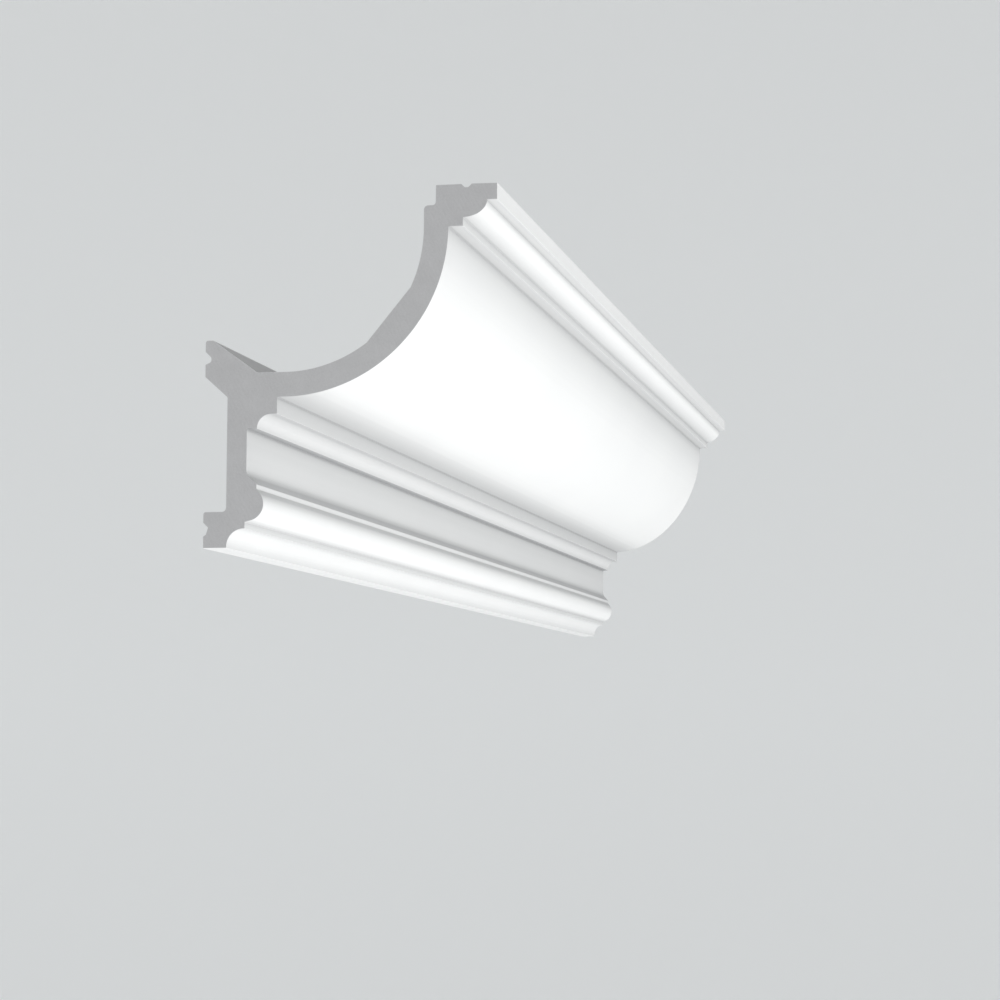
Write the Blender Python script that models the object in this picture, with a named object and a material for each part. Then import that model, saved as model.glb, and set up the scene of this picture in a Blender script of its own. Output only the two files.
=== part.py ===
"""A length of quarter-round cornice moulding, cast in one piece from rigid foam.

X runs out from the wall, Y along the wall and Z up to the ceiling, in metres.
The -Y end is sawn square and the +Y end is mitred for an inside corner.
The origin is on the wall, half way along, in the middle of the strip below the lower glue groove.
"""

import math
from typing import NamedTuple

import bmesh
import bpy
from mathutils import Vector


class Groove(NamedTuple):
    """A glue groove in a land: its sizes in the order in which the outline passes them."""

    setback: float  # from the land's edge to the mouth
    depth: float  # after the first flank, which goes in at 45 degrees
    floor: float  # the floor's width along the land
    far_depth: float  # at the floor's other side
    far_flank: float  # the last flank's width along the land
    rounding: float  # of the floor's two corners


# The run
LENGTH = 1.034
MITRE_ANGLE = 45.0

# Front of the foot, from the underside up
UNDERSIDE = 0.0117
FOOT_COVE_RISE = 0.0006
FOOT_COVE_RADIUS = 0.0085
FOOT_COVE_LEAD = 0.0004
FOOT_FILLET = 0.0031
NOSE_LEAD = 0.0029
NOSE_RADIUS = 0.00805
NOSE_START = -77.0
NOSE_END = 36.0
NOSE_SLOPE_IN = 0.0019
NOSE_SLOPE_RISE = 0.0023
NOSE_FILLET = 0.0023
CHAMFER = 0.0051
FRIEZE = 0.0213
FRIEZE_STEP = 0.0049
BED_COVE_RADIUS = 0.0069
BED_COVE_LEAD = 0.0029
BED_FILLET = 0.0080

# Front of the shell and of the lip, from the bed fillet up
QUARTER_LEAD = 0.0041
QUARTER_RADIUS = 0.0786
QUARTER_STEP = 0.0070
CROWN_FILLET = 0.0041
OVOLO_OUT = 0.0116
OVOLO_RISE = 0.0080
LIP_STEP = 0.0048
LIP = 0.0080

# Back of the lip and of the shell, from the ceiling down
CEILING_LAND = 0.0297
CEILING_GROOVE = Groove(
    setback=0.0124,
    depth=0.0016,
    floor=0.0017,
    far_depth=0.0016,
    far_flank=0.0016,
    rounding=0.0010,
)
BACK_STEP = 0.0095
BACK_STEP_INNER_ROUNDING = 0.0015
BACK_STEP_OUTER_ROUNDING = 0.0020
SHELL_THICKNESS = 0.0120
FLAT_INSET = 0.0021
FLAT_ANGLE = -39.4
SHELF = 0.0141

# Wall side, from the brace down
BRACE_TOP = 0.0037
UPPER_LAND_LIFT = 0.0105
UPPER_LAND = 0.0175
UPPER_LAND_ROUNDING = 0.0011
UPPER_GROOVE = Groove(
    setback=0.0054,
    depth=0.0029,
    floor=0.0020,
    far_depth=0.0029,
    far_flank=0.0013,
    rounding=0.0013,
)
FLANK_DROP = 0.0100
FLANK_ROUNDING = 0.0010
WEB_THICKNESS = 0.0100
WEB_ROUNDING = 0.0019
LOWER_LAND = 0.0173
LOWER_LAND_ROUNDING = 0.0012
LOWER_GROOVE = Groove(
    setback=0.0051,
    depth=0.0024,
    floor=0.0032,
    far_depth=0.0014,
    far_flank=0.0010,
    rounding=0.0,
)

# How far an arc's facets may stand off the true curve, and how much of a side a rounding may use
CHORD_ERROR = 0.00003
MOST_OF_SIDE = 0.45

SMOOTH_ANGLE = 30.0
WELD_DISTANCE = 0.000001
PRIMER_COLOUR = (0.86, 0.87, 0.87, 1.0)
PRIMER_ROUGHNESS = 0.55


def facet_count(radius, sweep):
    """How many chords keep within CHORD_ERROR of an arc of this sweep in radians."""
    facet = 2 * math.acos(1 - min(CHORD_ERROR / radius, 1))
    return max(1, math.ceil(abs(sweep) / facet))


def arc_points(centre, radius, start, sweep, squash=1.0):
    """Points along an arc, both ends included, with angles in radians. A squash of 0.5 halves its height."""
    count = facet_count(radius, sweep)
    angles = [start + sweep * i / count for i in range(count + 1)]
    return [centre + radius * Vector((math.cos(a), squash * math.sin(a))) for a in angles]


def rounded_corner(before, corner, after, radius):
    """Points of the arc that rounds a corner, kept shorter than the sides it joins."""
    back = before - corner
    ahead = after - corner
    half_angle = back.angle(ahead) / 2
    cut = min(radius / math.tan(half_angle), MOST_OF_SIDE * back.length, MOST_OF_SIDE * ahead.length)
    radius = cut * math.tan(half_angle)
    inward = (back.normalized() + ahead.normalized()).normalized()
    centre = corner + inward * (radius / math.sin(half_angle))
    first = corner + cut * back.normalized() - centre
    last = corner + cut * ahead.normalized() - centre
    sweep = math.remainder(math.atan2(last.y, last.x) - math.atan2(first.y, first.x), math.tau)
    return arc_points(centre, radius, math.atan2(first.y, first.x), sweep)


class Outline:
    """The section's corners in order, drawn like a pen line, each with the radius that rounds it."""

    def __init__(self, x, z):
        self.corners = [(Vector((x, z)), 0.0)]

    @property
    def here(self):
        return self.corners[-1][0]

    def to(self, x, z, rounding=0.0):
        self.corners.append((Vector((x, z)), rounding))

    def step(self, out=0.0, up=0.0, rounding=0.0):
        self.to(self.here.x + out, self.here.y + up, rounding)

    def arc(self, radius, start, end, squash=1.0):
        """Follow an arc on which the pen stands at the start angle. Returns the arc's centre."""
        start_angle = math.radians(start)
        centre = self.here - radius * Vector((math.cos(start_angle), squash * math.sin(start_angle)))
        for point in arc_points(centre, radius, start_angle, math.radians(end - start), squash)[1:]:
            self.to(point.x, point.y)
        return centre

    def groove(self, groove, along):
        """Run along a land and through its groove, which goes in to the left of the way along."""
        inward = Vector((-along.y, along.x))
        mouth = self.here + groove.setback * along
        first = mouth + groove.depth * (along + inward)
        last = mouth + (groove.depth + groove.floor) * along + groove.far_depth * inward
        end = mouth + groove_width(groove) * along
        self.to(*mouth)
        self.to(*first, groove.rounding)
        self.to(*last, groove.rounding)
        self.to(*end)

    def points(self):
        """The closed outline's points, with every rounding in place."""
        placed = []
        for i, (corner, rounding) in enumerate(self.corners):
            if rounding > 0:
                before, after = self.corners[i - 1][0], self.corners[i + 1][0]
                placed += rounded_corner(before, corner, after, rounding)
            else:
                placed.append(corner)
        return placed


def groove_width(groove):
    """The width of a groove's mouth. The first flank runs as far along as it goes in."""
    return groove.depth + groove.floor + groove.far_flank


def draw_foot_front(outline):
    """The foot from the underside up to the bed fillet. Returns the frieze's distance from the wall."""
    outline.step(up=FOOT_COVE_RISE)
    outline.arc(FOOT_COVE_RADIUS, 180, 90)
    outline.step(out=FOOT_COVE_LEAD)
    outline.step(up=FOOT_FILLET)
    outline.step(out=NOSE_LEAD, up=NOSE_LEAD * math.tan(math.radians(90 + NOSE_START)))
    outline.arc(NOSE_RADIUS, NOSE_START, NOSE_END)
    outline.step(out=-NOSE_SLOPE_IN, up=NOSE_SLOPE_RISE)
    outline.step(up=NOSE_FILLET)
    outline.step(out=-CHAMFER, up=CHAMFER)
    frieze_x = outline.here.x
    outline.step(up=FRIEZE)
    outline.step(out=FRIEZE_STEP)
    outline.arc(BED_COVE_RADIUS, 180, 90)
    outline.step(out=BED_COVE_LEAD)
    outline.step(up=BED_FILLET)
    return frieze_x


def draw_shell_front(outline):
    """The quarter-round and the lip up to the ceiling. Returns the quarter-round's centre."""
    outline.step(out=QUARTER_LEAD)
    centre = outline.arc(QUARTER_RADIUS, -90, 0)
    outline.step(out=QUARTER_STEP)
    outline.step(up=CROWN_FILLET)
    outline.arc(OVOLO_OUT, -90, 0, squash=OVOLO_RISE / OVOLO_OUT)
    outline.step(out=LIP_STEP)
    outline.step(up=LIP)
    return centre


def draw_shell_back(outline, centre):
    """The ceiling land, the shell's hollow side with its flat, and the shelf behind the shell's foot."""
    inner_radius = QUARTER_RADIUS - SHELL_THICKNESS
    lip_x, ceiling_z = outline.here
    inner_x = centre.x + inner_radius
    outline.groove(CEILING_GROOVE, Vector((-1, 0)))
    outline.to(lip_x - CEILING_LAND, ceiling_z)
    outline.to(lip_x - CEILING_LAND, ceiling_z - BACK_STEP, BACK_STEP_INNER_ROUNDING)
    outline.to(inner_x, ceiling_z - BACK_STEP, BACK_STEP_OUTER_ROUNDING)
    outline.to(inner_x, centre.y)
    half_flat = math.degrees(math.acos(1 - FLAT_INSET / inner_radius))
    outline.arc(inner_radius, 0, FLAT_ANGLE + half_flat)
    flat_end = math.radians(FLAT_ANGLE - half_flat)
    outline.to(*(centre + inner_radius * Vector((math.cos(flat_end), math.sin(flat_end)))))
    outline.arc(inner_radius, FLAT_ANGLE - half_flat, -90)
    outline.step(out=-SHELF)


def draw_wall_side(outline, quarter_bottom, frieze_x):
    """The brace, the two wall lands with their grooves, and the web's back, down to the underside."""
    upper_bottom = quarter_bottom + UPPER_LAND_LIFT
    upper_top = upper_bottom + UPPER_LAND
    web_back = frieze_x - WEB_THICKNESS
    down = Vector((0, -1))
    outline.to(BRACE_TOP, upper_top)
    outline.to(0, upper_top, UPPER_LAND_ROUNDING)
    outline.groove(UPPER_GROOVE, down)
    outline.to(0, upper_bottom)
    outline.to(web_back, upper_bottom - FLANK_DROP, FLANK_ROUNDING)
    outline.to(web_back, LOWER_LAND, WEB_ROUNDING)
    outline.to(0, LOWER_LAND, LOWER_LAND_ROUNDING)
    outline.groove(LOWER_GROOVE, down)
    outline.to(0, 0)


def section():
    """The cornice's section as X and Z points, anticlockwise, with Z counted from the underside."""
    outline = Outline(UNDERSIDE, 0)
    frieze_x = draw_foot_front(outline)
    quarter_bottom = outline.here.y
    centre = draw_shell_front(outline)
    draw_shell_back(outline, centre)
    draw_wall_side(outline, quarter_bottom, frieze_x)
    return outline.points()


def clear_scene():
    for scene_object in list(bpy.data.objects):
        bpy.data.objects.remove(scene_object, do_unlink=True)


def new_collection(name):
    collection = bpy.data.collections.new(name)
    bpy.context.scene.collection.children.link(collection)
    return collection


def primer_material():
    material = bpy.data.materials.new("white_primer")
    material.use_nodes = True
    shader = material.node_tree.nodes["Principled BSDF"]
    shader.inputs["Base Color"].default_value = PRIMER_COLOUR
    shader.inputs["Roughness"].default_value = PRIMER_ROUGHNESS
    shader.inputs["Metallic"].default_value = 0.0
    return material


def section_curve(points, collection):
    """The section as a filled outline with the length as its thickness, upright on the wall."""
    curve = bpy.data.curves.new("section", "CURVE")
    curve.dimensions = "2D"
    curve.fill_mode = "BOTH"
    curve.extrude = LENGTH / 2
    spline = curve.splines.new("POLY")
    spline.points.add(len(points) - 1)
    for place, point in zip(spline.points, points):
        place.co = (point.x, point.y, 0, 1)
    spline.use_cyclic_u = True
    lower_strip = LOWER_LAND - LOWER_GROOVE.setback - groove_width(LOWER_GROOVE)
    upright = bpy.data.objects.new("section", curve)
    upright.rotation_euler.x = math.radians(90)
    upright.location.z = -lower_strip / 2
    collection.objects.link(upright)
    return upright


def join_cap(shape, end):
    """Make the triangles of one end of the extrusion a single face, so that none of them is a sliver."""
    cap = [face for face in shape.faces if all(abs(v.co.z - end) < WELD_DISTANCE for v in face.verts)]
    bmesh.ops.dissolve_faces(shape, faces=cap)


def solid_from_curve(upright, name, collection):
    """The curve's evaluated shape as one closed mesh object in its place. The curve goes."""
    bpy.context.view_layer.update()
    evaluated = upright.evaluated_get(bpy.context.evaluated_depsgraph_get())
    mesh = bpy.data.meshes.new_from_object(evaluated)
    mesh.name = name
    shape = bmesh.new()
    shape.from_mesh(mesh)
    bmesh.ops.remove_doubles(shape, verts=shape.verts, dist=WELD_DISTANCE)
    for end in (-LENGTH / 2, LENGTH / 2):
        join_cap(shape, end)
    bmesh.ops.recalc_face_normals(shape, faces=shape.faces)
    shape.to_mesh(mesh)
    shape.free()
    solid = bpy.data.objects.new(name, mesh)
    solid.matrix_world = upright.matrix_world
    collection.objects.link(solid)
    bpy.data.objects.remove(upright, do_unlink=True)
    return solid


def mitre_saw(points, collection):
    """The block that the mitre takes away, with its near face on the cut."""
    projection = max(point.x for point in points)
    height = max(point.y for point in points)
    size = 2 * (projection + height)
    angle = math.radians(MITRE_ANGLE)
    outward = Vector((math.sin(angle), math.cos(angle), 0))
    middle = Vector((projection / 2, LENGTH / 2 - projection / 2 * math.tan(angle), height / 2))
    bpy.ops.mesh.primitive_cube_add(size=size, location=middle + outward * size / 2)
    saw = bpy.context.object
    saw.name = "mitre_saw"
    saw.rotation_euler.z = -angle
    saw.hide_render = True
    saw.display_type = "WIRE"
    for owner in list(saw.users_collection):
        owner.objects.unlink(saw)
    collection.objects.link(saw)
    return saw


def build():
    clear_scene()
    moulding = new_collection("cornice_moulding")
    cutters = new_collection("cutters")
    points = section()
    cornice = solid_from_curve(section_curve(points, moulding), "cornice_length", moulding)
    cornice.data.materials.clear()
    cornice.data.materials.append(primer_material())
    cornice.data.shade_smooth()
    cornice.data.set_sharp_from_angle(angle=math.radians(SMOOTH_ANGLE))
    mitre = cornice.modifiers.new("mitre", "BOOLEAN")
    mitre.operation = "DIFFERENCE"
    mitre.object = mitre_saw(points, cutters)


build()
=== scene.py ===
# %% [markdown]
# # A length of cornice
# A cornice covers the corner between a wall and the ceiling. This one is a length of rigid foam moulding,
# cast hollow behind its big quarter-round and sprayed with white primer. The measured model from CAD fixes
# its size and its place, and this lesson gives it soft arrises, a coat of primer and sawn ends that show
# the foam. X runs out from the wall, Y along it and Z up to the ceiling. All lengths are in metres.

import math

import bmesh
import bpy
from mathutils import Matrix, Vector


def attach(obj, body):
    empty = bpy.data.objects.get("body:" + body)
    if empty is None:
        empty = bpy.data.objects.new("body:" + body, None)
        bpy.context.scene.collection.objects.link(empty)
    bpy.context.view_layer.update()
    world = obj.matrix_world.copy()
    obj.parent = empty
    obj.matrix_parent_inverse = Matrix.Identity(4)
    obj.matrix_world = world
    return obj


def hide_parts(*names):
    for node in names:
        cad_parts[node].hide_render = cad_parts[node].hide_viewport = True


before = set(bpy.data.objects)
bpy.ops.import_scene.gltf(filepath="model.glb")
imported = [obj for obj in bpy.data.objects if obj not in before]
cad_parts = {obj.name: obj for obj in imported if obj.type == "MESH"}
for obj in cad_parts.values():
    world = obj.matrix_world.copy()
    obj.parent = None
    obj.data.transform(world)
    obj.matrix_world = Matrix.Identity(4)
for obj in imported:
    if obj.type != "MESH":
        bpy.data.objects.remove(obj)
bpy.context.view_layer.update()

# %% [markdown]
# ## The camera
# A camera is placed by two things: where it stands, and which way it looks. This one stands a little lower
# than the moulding, where someone in the room would look up at it, and its long lens keeps the run from
# looking stretched. A 90 mm lens on a 36 mm wide sensor sees about 23 degrees.

# %% Camera
camera_data = bpy.data.cameras.new("long_lens")
camera_data.lens = 89.62
camera_data.sensor_width = 36.0
camera = bpy.data.objects.new("camera", camera_data)
camera.location = (0.3810, -1.6372, -0.0918)
camera.rotation_euler = (math.radians(95.471), math.radians(-0.198), math.radians(11.941))
bpy.context.scene.collection.objects.link(camera)
bpy.context.scene.camera = camera
print("camera at", tuple(round(value, 3) for value in camera.location))

# %% [markdown]
# ## Small tools
# Both the shape and the finishes are made with nodes, so one small function adds a node, sets what it is
# told and links or fills its inputs. Colours are written as sRGB hex values, as a paint chart or an image
# editor gives them, and one function turns them into the linear values that Blender computes with.

# %% Add a node
def add_node(tree, kind, inputs=None, **settings):
    """Add a node with its settings. Each input is filled with a value or linked to another node's socket."""
    node = tree.nodes.new(kind)
    for setting, value in settings.items():
        setattr(node, setting, value)
    for key, value in (inputs or {}).items():
        if isinstance(value, bpy.types.NodeSocket):
            tree.links.new(value, node.inputs[key])
        else:
            node.inputs[key].default_value = value
    return node


# %% Read a colour
def linear(hex_colour):
    """An sRGB hex colour such as #AAABAE as linear red, green, blue and alpha."""
    channels = [int(hex_colour[place:place + 2], 16) / 255 for place in (1, 3, 5)]
    return [c / 12.92 if c <= 0.04045 else ((c + 0.055) / 1.055) ** 2.4 for c in channels] + [1.0]


print("mid grey #808080 is", round(linear("#808080")[0], 3), "in linear light")

# %% [markdown]
# ## The section
# A moulding is one outline pulled along a line, so the outline is worth drawing with care. It could be
# typed in as a long list of points, but a joiner would describe it as steps out, steps up, coves and
# rounds. A pen does the same here. It walks round the section anticlockwise, from the underside up the
# front, over the ceiling land and down the hollow back. At each corner it notes how softly that corner is
# rounded.

# %% The pen
SMOOTH = 0.0  # where a straight part runs on into an arc
ARRIS = 0.0003  # a moulded and painted outer edge is never quite sharp
INNER_CORNER = 0.0003  # the primer gathers a little in each inner corner
section = []


def corner_at(x, z, rounding=ARRIS):
    section.append((Vector((x, z)), rounding))


def move(out=0.0, up=0.0, rounding=ARRIS):
    here = section[-1][0]
    corner_at(here.x + out, here.y + up, rounding)


# %% Arcs for the pen
def turn(radius, start, end, facets, rounding=SMOOTH, squash=1.0):
    """Walk an arc on which the pen stands at the start angle, in degrees. Returns the arc's centre."""
    angle = math.radians(start)
    centre = section[-1][0] - radius * Vector((math.cos(angle), squash * math.sin(angle)))
    for facet in range(1, facets + 1):
        angle = math.radians(start + (end - start) * facet / facets)
        point = centre + radius * Vector((math.cos(angle), squash * math.sin(angle)))
        corner_at(*point, rounding if facet == facets else SMOOTH)
    return centre


# %% [markdown]
# ## The foot
# The foot lies against the wall below everything else. From the underside it has a small cove, a fillet, a
# nose that swells out like a torus, and a chamfer that leads in to the flat frieze. The cove and the nose
# are true arcs that start where the straight part before them already points their way. The chamfer runs
# into the frieze in a soft hollow, because the photo shows no line there, only a slow fall of light.

# %% Draw the foot
UNDERSIDE = 0.0117
FOOT_COVE_RISE = 0.0006
FOOT_COVE_RADIUS = 0.0085
FOOT_COVE_LEAD = 0.0004
FOOT_FILLET = 0.0031
NOSE_LEAD = 0.0029
NOSE_RADIUS = 0.00805
NOSE_START = -77.0
NOSE_END = 36.0
NOSE_SLOPE_IN = 0.0019
NOSE_SLOPE_RISE = 0.0023
NOSE_FILLET = 0.0023
CHAMFER = 0.0051
HOLLOW = 0.0050

corner_at(UNDERSIDE, 0.0)
move(up=FOOT_COVE_RISE, rounding=SMOOTH)
turn(FOOT_COVE_RADIUS, 180, 90, facets=14)
move(out=FOOT_COVE_LEAD)
move(up=FOOT_FILLET, rounding=INNER_CORNER)
move(out=NOSE_LEAD, up=NOSE_LEAD * math.tan(math.radians(90 + NOSE_START)), rounding=SMOOTH)
turn(NOSE_RADIUS, NOSE_START, NOSE_END, facets=21)
move(out=-NOSE_SLOPE_IN, up=NOSE_SLOPE_RISE, rounding=INNER_CORNER)
move(up=NOSE_FILLET)
move(out=-CHAMFER, up=CHAMFER, rounding=HOLLOW)
frieze_x = section[-1][0].x
print("the frieze stands", round(frieze_x * 1000, 1), "mm from the wall")

# %% [markdown]
# ## The bed mould and the quarter-round
# The frieze is the plain upright band. A step and a small cove carry it out to the bed fillet, and the big
# quarter-round springs from there. It is the face that everyone sees, so it gets a facet for every 1.25
# degrees.

# %% Draw the frieze, the bed mould and the quarter-round
FRIEZE = 0.0213
FRIEZE_STEP = 0.0049
BED_COVE_RADIUS = 0.0069
BED_COVE_LEAD = 0.0029
BED_FILLET = 0.0080
QUARTER_LEAD = 0.0041
QUARTER_RADIUS = 0.0786

move(up=FRIEZE, rounding=INNER_CORNER)
move(out=FRIEZE_STEP)
turn(BED_COVE_RADIUS, 180, 90, facets=12)
move(out=BED_COVE_LEAD)
move(up=BED_FILLET, rounding=INNER_CORNER)
quarter_bottom = section[-1][0].y
move(out=QUARTER_LEAD, rounding=SMOOTH)
quarter_centre = turn(QUARTER_RADIUS, -90, 0, facets=72, rounding=INNER_CORNER)
print("the quarter-round springs", round(quarter_bottom * 1000, 1), "mm above the underside")

# %% [markdown]
# ## The lip
# The lip meets the ceiling. A step, a fillet and a flattened round called an ovolo lead out to its upright
# fascia, whose top edge is the furthest point from the wall.

# %% Draw the lip
QUARTER_STEP = 0.0070
CROWN_FILLET = 0.0041
OVOLO_OUT = 0.0116
OVOLO_RISE = 0.0080
LIP_STEP = 0.0048
LIP = 0.0080

move(out=QUARTER_STEP)
move(up=CROWN_FILLET, rounding=INNER_CORNER)
turn(OVOLO_OUT, -90, 0, facets=24, rounding=INNER_CORNER, squash=OVOLO_RISE / OVOLO_OUT)
move(out=LIP_STEP)
move(up=LIP)
lip_top = section[-1][0]
print("the lip ends", [round(value * 1000, 1) for value in lip_top], "mm out and up")

# %% [markdown]
# ## Glue grooves
# Three lands carry adhesive: one under the ceiling and two on the wall. Each has a groove that takes the
# bead of glue. Its first flank goes in at 45 degrees, its floor is flat or slopes a little, and its last
# flank comes back out.

# %% Draw a groove
def groove(way, setback, depth, floor, far_depth, far_flank, rounding):
    """Run along a land and through its groove, which goes in to the left of the way along."""
    inward = Vector((-way.y, way.x))
    mouth = section[-1][0] + setback * way
    corner_at(*mouth)
    corner_at(*(mouth + depth * (way + inward)), rounding)
    corner_at(*(mouth + (depth + floor) * way + far_depth * inward), rounding)
    corner_at(*(mouth + (depth + floor + far_flank) * way))


# %% [markdown]
# ## The ceiling land and the hollow back
# The back saves foam and leaves room for cables. Behind the lip it steps down, and then it follows the
# quarter-round at the shell's thickness of 12 mm, with one flat where the mould's core was planed for
# strength. Below that, a level shelf leads to the brace.

# %% Draw the ceiling land and the hollow back
CEILING_LAND = 0.0297
BACK_STEP = 0.0095
SHELL_THICKNESS = 0.0120
FLAT_INSET = 0.0021  # how far the middle of the flat stands in from the arc
FLAT_ANGLE = -39.4
SHELF = 0.0141
CORE_ROUNDING = 0.0010  # where the faces of the mould's core meet

WALLWARD = Vector((-1, 0))
groove(WALLWARD, setback=0.0124, depth=0.0016, floor=0.0017, far_depth=0.0016, far_flank=0.0016,
       rounding=0.0010)
step_x = lip_top.x - CEILING_LAND
step_z = lip_top.y - BACK_STEP
corner_at(step_x, lip_top.y)
corner_at(step_x, step_z, rounding=0.0015)
inner_radius = QUARTER_RADIUS - SHELL_THICKNESS
corner_at(quarter_centre.x + inner_radius, step_z, rounding=0.0020)
corner_at(quarter_centre.x + inner_radius, quarter_centre.y, SMOOTH)
half_flat = math.degrees(math.acos(1 - FLAT_INSET / inner_radius))
flat_start, flat_end = FLAT_ANGLE + half_flat, FLAT_ANGLE - half_flat
turn(inner_radius, 0, flat_start, facets=20, rounding=CORE_ROUNDING)
angle = math.radians(flat_end)
corner_at(*(quarter_centre + inner_radius * Vector((math.cos(angle), math.sin(angle)))), CORE_ROUNDING)
turn(inner_radius, flat_end, -90, facets=29)
move(out=-SHELF, rounding=CORE_ROUNDING)
print("the section has", len(section), "corners and arc points so far")

# %% [markdown]
# ## The brace and the wall side
# A sloping brace ties the shell to the wall, where the upper land bears on it. The web runs down behind the
# frieze to the lower land, which closes the outline at the underside.

# %% Draw the brace and the wall side
BRACE_TOP = 0.0037
UPPER_LAND_LIFT = 0.0105  # above the foot of the quarter-round
UPPER_LAND = 0.0175
FLANK_DROP = 0.0100
WEB_THICKNESS = 0.0100
LOWER_LAND = 0.0173

DOWN = Vector((0, -1))
upper_bottom = quarter_bottom + UPPER_LAND_LIFT
corner_at(BRACE_TOP, upper_bottom + UPPER_LAND)
corner_at(0.0, upper_bottom + UPPER_LAND, rounding=0.0011)
groove(DOWN, setback=0.0054, depth=0.0029, floor=0.0020, far_depth=0.0029, far_flank=0.0013,
       rounding=0.0013)
corner_at(0.0, upper_bottom)
web_back = frieze_x - WEB_THICKNESS
corner_at(web_back, upper_bottom - FLANK_DROP, CORE_ROUNDING)
corner_at(web_back, LOWER_LAND, rounding=0.0019)
corner_at(0.0, LOWER_LAND, rounding=0.0012)
groove(DOWN, setback=0.0051, depth=0.0024, floor=0.0032, far_depth=0.0014, far_flank=0.0010,
       rounding=0.0003)
corner_at(0.0, 0.0)
print("the closed section has", len(section), "corners and arc points")

# %% [markdown]
# ## Round every corner
# Light catches a rounded edge and slides off a sharp one, so each corner becomes a short arc. Flat bands
# that touch such an arc would look bent, because smooth shading blends their normals. A holding point a
# little way in from each end of a flat keeps that blend next to the corner.

# %% Round a corner
CORNER_FACETS = 4
MOST_OF_SIDE = 0.45


def rounded(before, corner, after, radius):
    """The points of the arc that rounds a corner, shorter than the sides that it joins."""
    back, ahead = before - corner, after - corner
    half = back.angle(ahead) / 2
    cut = min(radius / math.tan(half), MOST_OF_SIDE * back.length, MOST_OF_SIDE * ahead.length)
    centre = corner + (back.normalized() + ahead.normalized()).normalized() * (cut / math.cos(half))
    first = corner + cut * back.normalized() - centre
    last = corner + cut * ahead.normalized() - centre
    sweep = math.remainder(math.atan2(last.y, last.x) - math.atan2(first.y, first.x), math.tau)
    turns = [sweep * facet / CORNER_FACETS for facet in range(CORNER_FACETS + 1)]
    start = math.atan2(first.y, first.x)
    return [centre + first.length * Vector((math.cos(start + t), math.sin(start + t))) for t in turns]


# %% Round the section
HOLD = 0.00015
SHORTEST_FLAT = 0.0019
LONGEST_STEP = 0.0013
corners = []
for number, (point, rounding) in enumerate(section):
    before, after = section[number - 1][0], section[(number + 1) % len(section)][0]
    corners += rounded(before, point, after, rounding) if rounding > 0 else [point]

outline = []
for point, after in zip(corners, corners[1:] + corners[:1]):
    outline.append(point)
    flat = after - point
    if flat.length > SHORTEST_FLAT:
        first, last = point + flat.normalized() * HOLD, after - flat.normalized() * HOLD
        steps = math.ceil((last - first).length / LONGEST_STEP)
        outline += [first.lerp(last, step / steps) for step in range(steps + 1)]
print("the rounded outline has", len(outline), "points")

# %% [markdown]
# ## What each point of the outline knows
# Three facts travel with the outline. The first is the way to the inside, with which the sawn ends get a
# thin rim where the coat and the skin are seen edge on. The second is how much primer was meant for the
# point: all of it on the front, and a mist of overspray that fades over the first few millimetres of the
# lands behind it. The third is how open the point is to its surroundings, which sets the painted shade in
# the primer's recesses.

# %% The way inwards
def inward_at(number):
    """How far a point moves, for each metre of rim, to keep the rim even round the corner."""
    before, here, after = outline[number - 1], outline[number], outline[(number + 1) % len(outline)]
    came, goes = (here - before).normalized(), (after - here).normalized()
    left = Vector((-came.y - goes.y, came.x + goes.x)).normalized()
    return left / left.dot(Vector((-came.y, came.x)))


inward = [inward_at(number) for number in range(len(outline))]

# %% The primer's reach
OVERSPRAY = 0.0090
lip_edge = max(range(len(outline)), key=lambda number: outline[number].x + outline[number].y)
wall_edge = min(range(len(outline)), key=lambda number: outline[number].length)


def coat_at(number):
    if number <= lip_edge or number >= wall_edge:
        return 1.0
    edge = min((outline[number] - outline[end]).length for end in (lip_edge, wall_edge))
    return max(0.0, 1.0 - edge / OVERSPRAY)


coat = [coat_at(number) for number in range(len(outline))]
print("fully primed points:", sum(value == 1.0 for value in coat))

# %% [markdown]
# ## Painted shade in the recesses
# The primer's white is painted greyer in its recesses, as shade, so that they look as they do in soft light.
# That shade could be painted by hand, but the shape itself tells where it goes. From each point of the front,
# rays leave in all directions across the section, closer together near straight on, and each counts for
# what it meets of the measured solid. A wall within 5 cm counts as shade, and one within 1.5 mm counts for
# more, which paints a fine dark line of shade in each inner corner.

# %% Openness
DROP = 0.0028  # from the middle of the lowest wall strip, where the CAD origin is, to the underside
# The rays, reach and weights of the painted shade in the recesses and inner corners.
SHADE_RAYS = 80
REACH = 0.05
CORNER_SHADE_REACH = 0.0015
CORNER_SHADE_WEIGHT = 1.25
CLEARANCE = 0.0004  # rays start this far off the surface, and points nearer to each other share a value
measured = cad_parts["cornice_length"]


def openness_at(number):
    """How open a point of the outline is; where it is less open, the primer gets painted shade."""
    out = -inward[number].normalized()
    start = outline[number] + out * CLEARANCE
    blocked = 0.0
    for ray in range(SHADE_RAYS):
        across = 2 * (ray + 0.5) / SHADE_RAYS - 1
        way = out * math.sqrt(1 - across * across) + Vector((-out.y, out.x)) * across
        origin = Vector((start.x, 0.0, start.y - DROP))
        met, place, _, _ = measured.ray_cast(origin, (way.x, 0.0, way.y), distance=REACH)
        if met:
            # A wall very near the point counts for more: painted shade for the dark line in each inner
            # corner.
            blocked += CORNER_SHADE_WEIGHT if (place - origin).length < CORNER_SHADE_REACH else 1.0
    return max(0.0, 1.0 - blocked / SHADE_RAYS)


# %% Openness along the front
fully_coated = [number for number in range(len(outline)) if coat[number] == 1.0]
openness_found = {number: openness_at(number) for number in fully_coated}
openness = [1.0] * len(outline)
for number in fully_coated:
    near = [other for other in (number - 2, number - 1, number + 1, number + 2)
            if other in openness_found and (outline[other] - outline[number]).length < CLEARANCE]
    openness[number] = min(openness_found[other] for other in [number] + near)
print("least open point of the front:", round(min(openness), 2))

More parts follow.
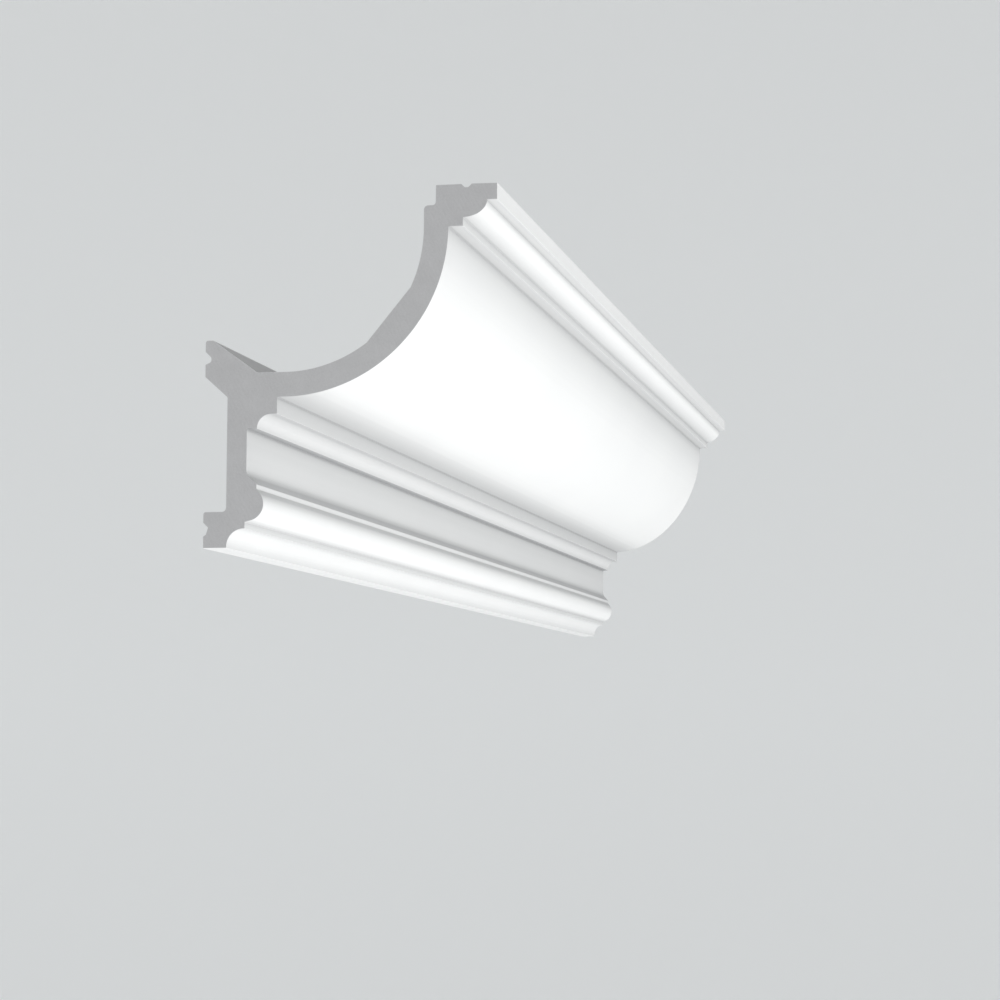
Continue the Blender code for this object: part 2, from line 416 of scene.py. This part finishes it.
# %% The section as a face
section_mesh = bpy.data.meshes.new("cornice_section")
section_mesh.from_pydata([(point.x, point.y, 0.0) for point in outline], [], [range(len(outline))])
section_mesh.attributes.new("inward", "FLOAT_VECTOR", "POINT").data.foreach_set(
    "vector", [value for way in inward for value in (way.x, way.y, 0.0)])
section_mesh.attributes.new("coat", "FLOAT", "POINT").data.foreach_set("value", coat)
section_mesh.attributes.new("openness", "FLOAT", "POINT").data.foreach_set("value", openness)
print("section area", round(section_mesh.polygons[0].area * 1e4, 2), "square cm")

# %% [markdown]
# ## Finish 1: satin acrylic primer, sprayed
# The mould leaves the foam with a fine skin, and the factory sprays it with water-based white primer. The
# eye gets a near-white, satin surface with a hint of the spray's orange peel. Acrylic paint has an IOR of
# about 1.5 and a primer's roughness is about 0.5. Orange peel repeats every 2 or 3 mm and is about 10
# microns deep. A curve turns openness into painted shade: a little grey soon, then slowly more over the
# shallow recesses, and the full grey in the inner corners.

# %% A material that reads places on the object
def new_material(name, roughness, ior):
    """A material with a Principled shader and Object coordinates, in metres, to draw patterns with."""
    material = bpy.data.materials.new(name)
    material.use_nodes = True
    tree = material.node_tree
    shader = tree.nodes["Principled BSDF"]
    shader.inputs["Roughness"].default_value = roughness
    shader.inputs["IOR"].default_value = ior
    place = add_node(tree, "ShaderNodeTexCoord").outputs["Object"]
    return material, tree, shader, place


def per_metre(millimetres):
    """A texture's scale for a pattern that repeats after so many millimetres."""
    return 1000.0 / millimetres


# %% Primer
primer, tree, shader, place = new_material("white_acrylic_primer_sprayed", roughness=0.5, ior=1.5)
cloud = add_node(tree, "ShaderNodeTexNoise", {"Vector": place, "Scale": per_metre(70), "Detail": 3.0})
tint = add_node(tree, "ShaderNodeMix", {0: cloud.outputs["Fac"], 6: linear("#EAEAEA"), 7: linear("#EEEEED")},
                data_type="RGBA")
# Painted shade: openness greys the primer's white in the recesses.
openness_read = add_node(tree, "ShaderNodeAttribute", attribute_name="openness")
painted_shade_curve = add_node(tree, "ShaderNodeFloatCurve", {"Value": openness_read.outputs["Fac"]})
shade_curve_points = painted_shade_curve.mapping.curves[0]
shade_curve_points.points[0].location = (0.40, 1.0)
shade_curve_points.points[1].location = (1.0, 0.0)
for open_share, grey_share in ((0.55, 0.58), (0.80, 0.31)):
    shade_curve_points.points.new(open_share, grey_share)
painted_shade_curve.mapping.update()
# Painted shade: the curve mixes in grey #979899, fully in the inner corners.
painted_shade_mix = add_node(tree, "ShaderNodeMix",
                     {0: painted_shade_curve.outputs["Value"], 6: tint.outputs[2], 7: linear("#979899")}, data_type="RGBA")
tree.links.new(painted_shade_mix.outputs[2], shader.inputs["Base Color"])
sheen = add_node(tree, "ShaderNodeMapRange", {"Value": cloud.outputs["Fac"], "To Min": 0.44, "To Max": 0.56})
tree.links.new(sheen.outputs["Result"], shader.inputs["Roughness"])
peel = add_node(tree, "ShaderNodeTexNoise", {"Vector": place, "Scale": per_metre(2.6), "Detail": 1.0})
relief = add_node(tree, "ShaderNodeBump", {"Height": peel.outputs["Fac"], "Distance": 0.000012})
tree.links.new(relief.outputs["Normal"], shader.inputs["Normal"])
print("finish:", primer.name)

# %% [markdown]
# ## Finish 2: rigid polyurethane foam, sawn
# A fine-toothed saw cuts across closed cells, so the end is dull, light grey and very evenly speckled. The
# cells are 0.2 to 0.4 mm wide, too fine for this picture, so they are drawn at 0.9 mm. The saw also leaves
# faint lines, here 1.8 mm apart and leaning, as a blade leaves them when it comes down across the length.

# %% Sawn foam
foam, tree, shader, place = new_material("grey_polyurethane_foam_sawn", roughness=0.92, ior=1.45)
cells = add_node(tree, "ShaderNodeTexVoronoi", {"Vector": place, "Scale": per_metre(0.9)})
leaning = add_node(tree, "ShaderNodeMapping", {"Vector": place, "Rotation": (0.0, math.radians(28), 0.0)})
lines = add_node(tree, "ShaderNodeTexWave",
                 {"Vector": leaning.outputs["Vector"], "Scale": per_metre(1.8) * math.tau / 20,
                  "Distortion": 0.6, "Detail": 1.0, "Detail Scale": 0.5})
patches = add_node(tree, "ShaderNodeTexNoise", {"Vector": place, "Scale": per_metre(9), "Detail": 4.0})
speckle = add_node(tree, "ShaderNodeMix",
                   {0: cells.outputs["Distance"], 6: linear("#D2D1D2"), 7: linear("#CCCBCC")},
                   data_type="RGBA", clamp_factor=True)
density = add_node(tree, "ShaderNodeMix",
                   {0: patches.outputs["Fac"], 6: linear("#F2F2F2"), 7: linear("#FFFFFF")}, data_type="RGBA")
cut = add_node(tree, "ShaderNodeMix", {0: 1.0, 6: speckle.outputs[2], 7: density.outputs[2]},
               data_type="RGBA", blend_type="MULTIPLY")
tree.links.new(cut.outputs[2], shader.inputs["Base Color"])
pores = add_node(tree, "ShaderNodeBump",
                 {"Height": cells.outputs["Distance"], "Distance": 0.00008, "Strength": 0.6}, invert=True)
marks = add_node(tree, "ShaderNodeBump",
                 {"Height": lines.outputs["Fac"], "Distance": 0.00004, "Normal": pores.outputs["Normal"]})
tree.links.new(marks.outputs["Normal"], shader.inputs["Normal"])
print("finish:", foam.name)

# %% [markdown]
# ## Finish 3: polyurethane skin, as moulded
# Where the foam meets the mould it forms a dense skin. On the back nobody paints it, so it stays a slightly
# greyer and duller off-white, with faint flow streaks along the run, a few pinholes and a mist of overspray
# next to the primed edges.

# %% Moulded skin
skin, tree, shader, place = new_material("polyurethane_skin_moulded", roughness=0.62, ior=1.48)
stretched = add_node(tree, "ShaderNodeMapping", {"Vector": place, "Scale": (1.0, 0.12, 1.0)})
streaks = add_node(tree, "ShaderNodeTexNoise",
                   {"Vector": stretched.outputs["Vector"], "Scale": per_metre(11), "Detail": 5.0})
bare = add_node(tree, "ShaderNodeMix",
                {0: streaks.outputs["Fac"], 6: linear("#D2D2D3"), 7: linear("#E1E1E1")}, data_type="RGBA")
primed = add_node(tree, "ShaderNodeAttribute", attribute_name="coat")
droplets = add_node(tree, "ShaderNodeTexNoise", {"Vector": place, "Scale": per_metre(1.4), "Detail": 2.0})
mist = add_node(tree, "ShaderNodeMath", {0: primed.outputs["Fac"], 1: droplets.outputs["Fac"]},
                operation="ADD")
cover = add_node(tree, "ShaderNodeMapRange",
                 {"Value": mist.outputs["Value"], "From Min": 0.75, "From Max": 1.25})
misted = add_node(tree, "ShaderNodeMix",
                  {0: cover.outputs["Result"], 6: bare.outputs[2], 7: linear("#F3F4F4")}, data_type="RGBA")
bubbles = add_node(tree, "ShaderNodeTexVoronoi", {"Vector": place, "Scale": per_metre(16)})
pinhole = add_node(tree, "ShaderNodeMapRange",
                   {"Value": bubbles.outputs["Distance"], "From Min": 0.035, "From Max": 0.06})
pitted = add_node(tree, "ShaderNodeMix",
                  {0: pinhole.outputs["Result"], 6: linear("#8E8E8C"), 7: misted.outputs[2]},
                  data_type="RGBA")
tree.links.new(pitted.outputs[2], shader.inputs["Base Color"])
flow = add_node(tree, "ShaderNodeBump", {"Height": streaks.outputs["Fac"], "Distance": 0.0001})
tree.links.new(flow.outputs["Normal"], shader.inputs["Normal"])
print("finish:", skin.name)

# %% [markdown]
# ## The moulding as a sweep
# The length follows one rule: every cross-section is the same, the near end is sawn square and the far end
# is sawn at 45 degrees, so that the next length can turn the corner. Geometry Nodes suit a rule like that.
# The tree lays a grid round the section and along the run, with one extra row at each end for the rim, and
# closes the two ends with the section itself. A light rub with sandpaper after sawing eases the primed
# edges, so on the front the rim is a tiny bevel that catches the light. On the back it lies flat in the
# cut.

# %% The tree and its inputs
sweep = bpy.data.node_groups.new("swept_moulding", "GeometryNodeTree")
sweep.is_modifier = True
for name, kind in {"Section": "Geometry", "Length": "Float", "Mitre angle": "Float", "Rows": "Int",
                   "Rim": "Float", "Drop": "Float", "Primer": "Material", "Skin": "Material",
                   "Foam": "Material"}.items():
    sweep.interface.new_socket(name, in_out="INPUT", socket_type="NodeSocket" + kind)
sweep.interface.new_socket("Moulding", in_out="OUTPUT", socket_type="NodeSocketGeometry")
given = add_node(sweep, "NodeGroupInput").outputs
result = add_node(sweep, "NodeGroupOutput")
print("inputs:", [socket.name for socket in given if socket.name])


# %% Sums in a tree
def maths(operation, first, second=0.0):
    return add_node(sweep, "ShaderNodeMath", {0: first, 1: second}, operation=operation).outputs["Value"]


def scaled(vector, scale):
    return add_node(sweep, "ShaderNodeVectorMath", {0: vector, "Scale": scale}, operation="SCALE").outputs[0]


def plus(first, second):
    return add_node(sweep, "ShaderNodeVectorMath", {0: first, 1: second}, operation="ADD").outputs[0]


# %% Where a point of the section stands, a share of the way along the run
def stood_up(point, share, ease=0.0):
    flat = add_node(sweep, "ShaderNodeSeparateXYZ", {0: point}).outputs
    half = maths("SUBTRACT", maths("MULTIPLY", given["Length"], 0.5), ease)
    mitre = maths("SUBTRACT", half, maths("MULTIPLY", flat["X"], maths("TANGENT", given["Mitre angle"])))
    near = maths("MULTIPLY", half, -1.0)
    along = maths("ADD", near, maths("MULTIPLY", share, maths("SUBTRACT", mitre, near)))
    height = maths("SUBTRACT", flat["Y"], given["Drop"])
    return add_node(sweep, "ShaderNodeCombineXYZ", {"X": flat["X"], "Y": along, "Z": height}).outputs[0]


# %% The rows of the grid
around = add_node(sweep, "GeometryNodeAttributeDomainSize", {0: given["Section"]}).outputs["Point Count"]
grid = add_node(sweep, "GeometryNodeMeshGrid", {"Vertices X": maths("ADD", around, 1.0),
                                                "Vertices Y": given["Rows"]}).outputs["Mesh"]
index = add_node(sweep, "GeometryNodeInputIndex").outputs[0]
row = maths("MODULO", index, given["Rows"])
column = maths("MODULO", maths("FLOOR", maths("DIVIDE", index, given["Rows"])), around)
last_row = maths("SUBTRACT", given["Rows"], 1.0)
past_run = maths("GREATER_THAN", row, maths("SUBTRACT", last_row, 0.5))
on_rim = maths("MAXIMUM", maths("LESS_THAN", row, 0.5), past_run)
share = maths("DIVIDE", maths("SUBTRACT", row, 1.0), maths("SUBTRACT", last_row, 2.0))
share = add_node(sweep, "ShaderNodeClamp", {"Value": share}).outputs[0]


# %% Read the section at a column
FULLY_PRIMED = 0.995


def at_column(value, kind):
    return add_node(sweep, "GeometryNodeSampleIndex",
                    {"Geometry": given["Section"], "Value": value, "Index": column},
                    data_type=kind, domain="POINT").outputs[0]


def fact(name, kind):
    return add_node(sweep, "GeometryNodeInputNamedAttribute", {"Name": name}, data_type=kind).outputs[0]


position = add_node(sweep, "GeometryNodeInputPosition").outputs[0]
inside = fact("inward", "FLOAT_VECTOR")
coated = fact("coat", "FLOAT")
rim_step = scaled(at_column(inside, "FLOAT_VECTOR"), maths("MULTIPLY", given["Rim"], on_rim))
on_front = maths("GREATER_THAN", at_column(coated, "FLOAT"), FULLY_PRIMED)
ease = maths("MULTIPLY", given["Rim"], maths("SUBTRACT", on_front, maths("MULTIPLY", on_front, on_rim)))
grid_place = stood_up(plus(at_column(position, "FLOAT_VECTOR"), rim_step), share, ease)

# %% The outside of the moulding
skirt = grid
for name in ("coat", "openness"):
    skirt = add_node(sweep, "GeometryNodeStoreNamedAttribute",
                     {"Geometry": skirt, "Name": name, "Value": at_column(fact(name, "FLOAT"), "FLOAT")},
                     data_type="FLOAT", domain="POINT").outputs[0]
skirt = add_node(sweep, "GeometryNodeSetPosition", {"Geometry": skirt, "Position": grid_place}).outputs[0]
skirt = add_node(sweep, "GeometryNodeFlipFaces", {"Mesh": skirt}).outputs[0]

# %% The two sawn ends
inner_place = plus(position, scaled(inside, given["Rim"]))
ends = []
for share_of_run in (0.0, 1.0):
    end = add_node(sweep, "GeometryNodeSetPosition",
                   {"Geometry": given["Section"], "Position": stood_up(inner_place, share_of_run)}).outputs[0]
    if share_of_run:
        end = add_node(sweep, "GeometryNodeFlipFaces", {"Mesh": end}).outputs[0]
    ends.append(add_node(sweep, "GeometryNodeStoreNamedAttribute",
                         {"Geometry": end, "Name": "sawn", "Value": 1.0},
                         data_type="FLOAT", domain="FACE").outputs[0])

# %% Join, weld and keep the sawn edges crisp
WELD_DISTANCE = 0.000002
CRISP_ANGLE = math.radians(30)
joined = add_node(sweep, "GeometryNodeJoinGeometry")
for part in (skirt, *ends):
    sweep.links.new(part, joined.inputs[0])
welded = add_node(sweep, "GeometryNodeMergeByDistance",
                  {"Geometry": joined.outputs[0], "Distance": WELD_DISTANCE}).outputs[0]
bend = add_node(sweep, "GeometryNodeInputMeshEdgeAngle").outputs["Unsigned Angle"]
crisp = add_node(sweep, "GeometryNodeSetShadeSmooth",
                 {"Geometry": welded, "Selection": maths("GREATER_THAN", bend, CRISP_ANGLE),
                  "Shade Smooth": False}, domain="EDGE").outputs[0]

# %% Give each face its finish
whole = add_node(sweep, "GeometryNodeRealizeInstances", {"Geometry": crisp}).outputs[0]
finishes = {"Skin": True, "Primer": maths("GREATER_THAN", coated, FULLY_PRIMED),
            "Foam": maths("GREATER_THAN", fact("sawn", "FLOAT"), 0.5)}
for name, chosen in finishes.items():
    whole = add_node(sweep, "GeometryNodeSetMaterial",
                     {"Geometry": whole, "Selection": chosen, "Material": given[name]}).outputs[0]
sweep.links.new(whole, result.inputs[0])
print("the tree has", len(sweep.nodes), "nodes")

# %% [markdown]
# ## Cut one length
# The tree becomes a length when its inputs get their sizes. The rows stand about 40 mm apart, close enough
# for even quads. Its result is made a plain mesh, so that nothing has to be worked out again afterwards.

# %% One length
RUN = 1.034
MITRE_ANGLE = math.radians(45)
ROWS = 28
RIM = 0.0002  # less than an arris, so that the bevel never turns itself inside out
sizes = {"Length": RUN, "Mitre angle": MITRE_ANGLE, "Rows": ROWS, "Rim": RIM, "Drop": DROP,
         "Primer": primer, "Skin": skin, "Foam": foam}
blank = bpy.data.objects.new("blank", section_mesh)
bpy.context.scene.collection.objects.link(blank)
modifier = blank.modifiers.new("sweep", "NODES")
modifier.node_group = sweep
for socket in sweep.interface.items_tree:
    if socket.name in sizes:
        modifier[socket.identifier] = sizes[socket.name]
bpy.context.view_layer.update()
swept = blank.evaluated_get(bpy.context.evaluated_depsgraph_get())
cornice = bpy.data.objects.new("cornice_moulding", bpy.data.meshes.new_from_object(swept))
bpy.context.scene.collection.objects.link(cornice)
bpy.data.objects.remove(blank, do_unlink=True)
print("cornice:", len(cornice.data.vertices), "points and", len(cornice.data.polygons), "faces")

# %% Tidy the mesh
for spare in ("inward", "sawn"):
    cornice.data.attributes.remove(cornice.data.attributes[spare])
if cornice.data.materials[0] is None:  # the grid starts with an empty slot, which no face wears any more
    cornice.data.materials.pop(index=0)
worn = [face.material_index for face in cornice.data.polygons]
for slot, material in enumerate(cornice.data.materials):
    print(material.name, "on", worn.count(slot), "faces")

# %% Check the length
solid = bmesh.new()
solid.from_mesh(cornice.data)
open_edges = sum(not edge.is_manifold for edge in solid.edges)
print("volume", round(solid.calc_volume(signed=True) * 1000, 4), "litres, open edges:", open_edges)
solid.free()

# %% Put the length in place of the measured one
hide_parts("cornice_length")
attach(cornice, "root")

# %% [markdown]
# ## The studio
# The moulding hangs in a plain pale studio whose floor curves up into the wall, so that no line shows
# behind it. The floor lies a room's height below, as it would under a cornice. It is a profile turned round
# once. Its opal acrylic is lit evenly from behind, as in studios for glass and white ware, so it glows a
# little and the moulding gets soft light from every side.

# %% Floor and backdrop
FLOOR = -2.4
CENTRE_HOLE = 0.001  # keeps the innermost faces four-sided
FLAT_RADIUS = 5.0
CURVE_RADIUS = 2.5
CURVE_FACETS = 16
WALL_TOP = 6.0
profile = [(CENTRE_HOLE, FLOOR), (FLAT_RADIUS, FLOOR)]
for facet in range(1, CURVE_FACETS + 1):
    angle = math.radians(90 * facet / CURVE_FACETS)
    out, up = CURVE_RADIUS * math.sin(angle), CURVE_RADIUS * (1 - math.cos(angle))
    profile.append((FLAT_RADIUS + out, FLOOR + up))
profile.append((FLAT_RADIUS + CURVE_RADIUS, WALL_TOP))

SPOKES = 96
points = [(radius * math.cos(math.tau * spoke / SPOKES), radius * math.sin(math.tau * spoke / SPOKES), height)
          for spoke in range(SPOKES) for radius, height in profile]
rings = len(profile)
faces = []
for spoke in range(SPOKES):
    here, there = spoke * rings, (spoke + 1) % SPOKES * rings
    faces += [(here + ring, there + ring, there + ring + 1, here + ring + 1) for ring in range(rings - 1)]
cove_mesh = bpy.data.meshes.new("studio_cove")
cove_mesh.from_pydata(points, [], faces)
cove_mesh.shade_smooth()
cove = bpy.data.objects.new("studio_cove", cove_mesh)
bpy.context.scene.collection.objects.link(cove)
opal, tree, shader, place = new_material("opal_acrylic_backlit", roughness=0.9, ior=1.49)
shader.inputs["Base Color"].default_value = linear("#CED0D0")
shader.inputs["Emission Color"].default_value = linear("#FBFCFD")
shader.inputs["Emission Strength"].default_value = 0.3
cove_mesh.materials.append(opal)
print("the studio is", 2 * (FLAT_RADIUS + CURVE_RADIUS), "m across")

# %% [markdown]
# ## Soft light
# White paint shows its shape only through gentle differences of light. One wide soft box stands low on the
# room side and lights the undersides and the quarter-round, as light thrown back by a bright floor would. A
# weaker one hangs behind, where it reaches only the hollow back and the wall lands. The glow of the studio
# and a weak sky above it fill the rest, so that nothing casts a hard shadow.

# %% Soft box
def soft_box(name, place, aim, size, power):
    """A square area light that stands at a place and faces a point."""
    light = bpy.data.lights.new(name, "AREA")
    light.shape = "SQUARE"
    light.size = size
    light.energy = power
    lamp = bpy.data.objects.new(name, light)
    lamp.location = place
    lamp.rotation_euler = (Vector(aim) - Vector(place)).to_track_quat("-Z", "Y").to_euler()
    lamp.visible_camera = False
    bpy.context.scene.collection.objects.link(lamp)
    return lamp


MIDDLE = (0.07, 0.0, 0.08)
soft_box("low_box", place=(1.64, -0.80, -1.58), aim=MIDDLE, size=1.7, power=45)
soft_box("back_box", place=(-1.90, 0.50, 0.85), aim=MIDDLE, size=1.5, power=10)

# %% Sky light and how the picture is shown
world = bpy.data.worlds.new("studio_sky")
world.use_nodes = True
world.node_tree.nodes["Background"].inputs["Color"].default_value = linear("#FFFFFF")
world.node_tree.nodes["Background"].inputs["Strength"].default_value = 0.3
bpy.context.scene.world = world
bpy.context.scene.view_settings.view_transform = "Standard"
